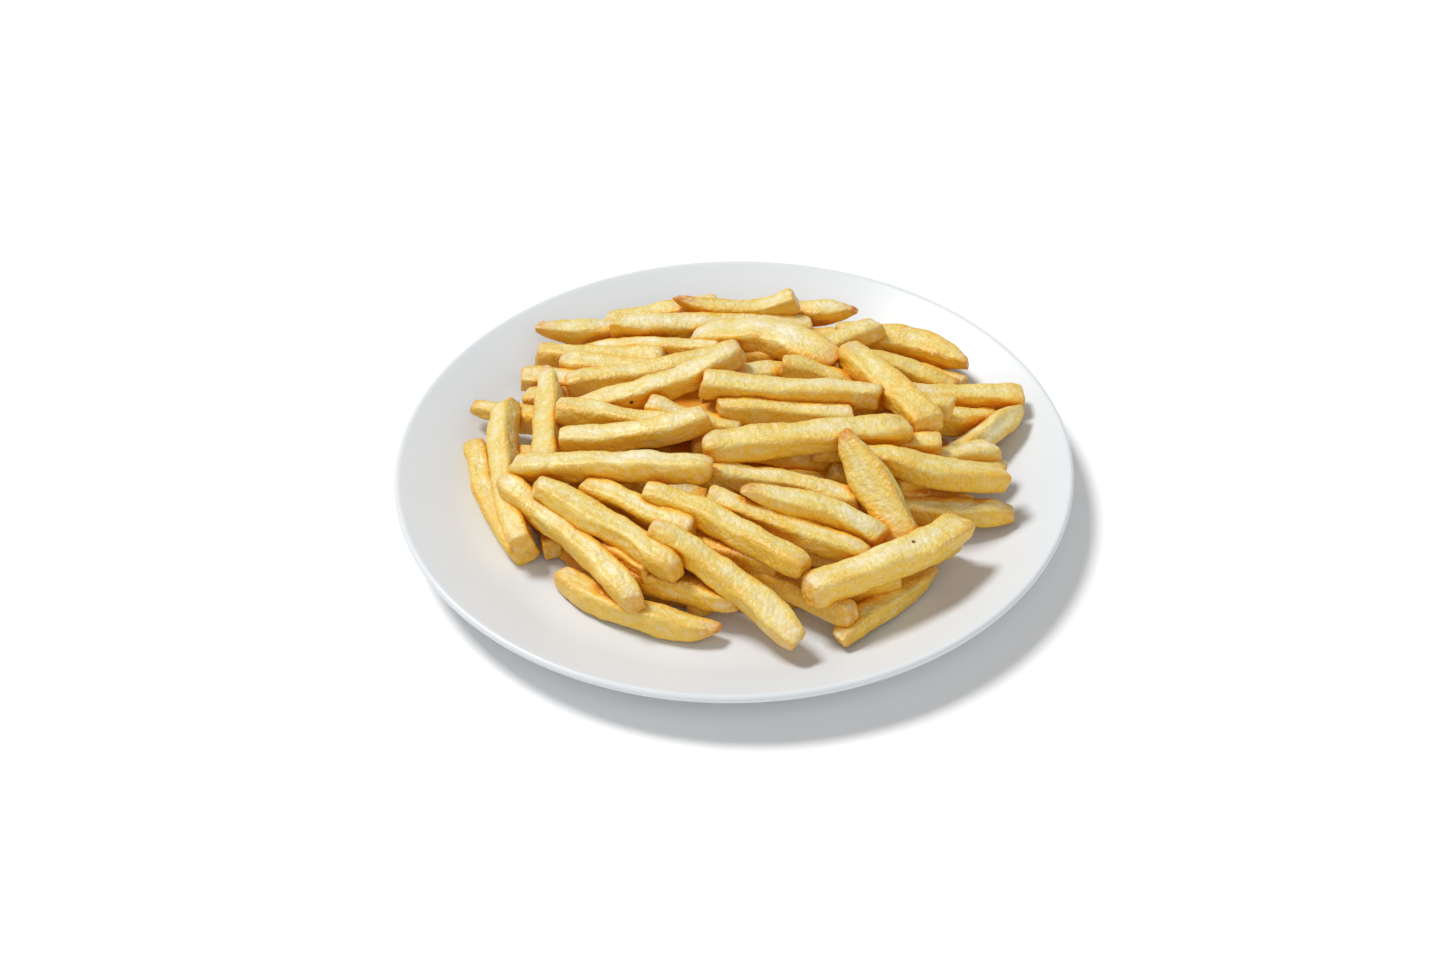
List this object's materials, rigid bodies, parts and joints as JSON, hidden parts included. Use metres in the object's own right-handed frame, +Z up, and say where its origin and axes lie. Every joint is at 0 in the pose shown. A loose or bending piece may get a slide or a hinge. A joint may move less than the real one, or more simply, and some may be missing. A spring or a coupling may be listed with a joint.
{
  "type": "plate of french fries",
  "caption": "Portion of golden french fries in a low loose heap on a plain round white dinner plate with a foot ring.",
  "frame": {"origin": "centre of the plate's foot ring, at table height", "axes": "+Z up out of the plate, +X to the eater's right, +Y away from the eater"},
  "size_m": [0.2698, 0.2698, 0.0519],
  "materials": {
    "glazed_porcelain": "glossy white glaze",
    "fried_potato": "fried potato, pale golden and slightly oily"
  },
  "bodies": {
    "root": {"plate": "glazed_porcelain", "french_fries": "fried_potato"}
  },
  "joints": []
}
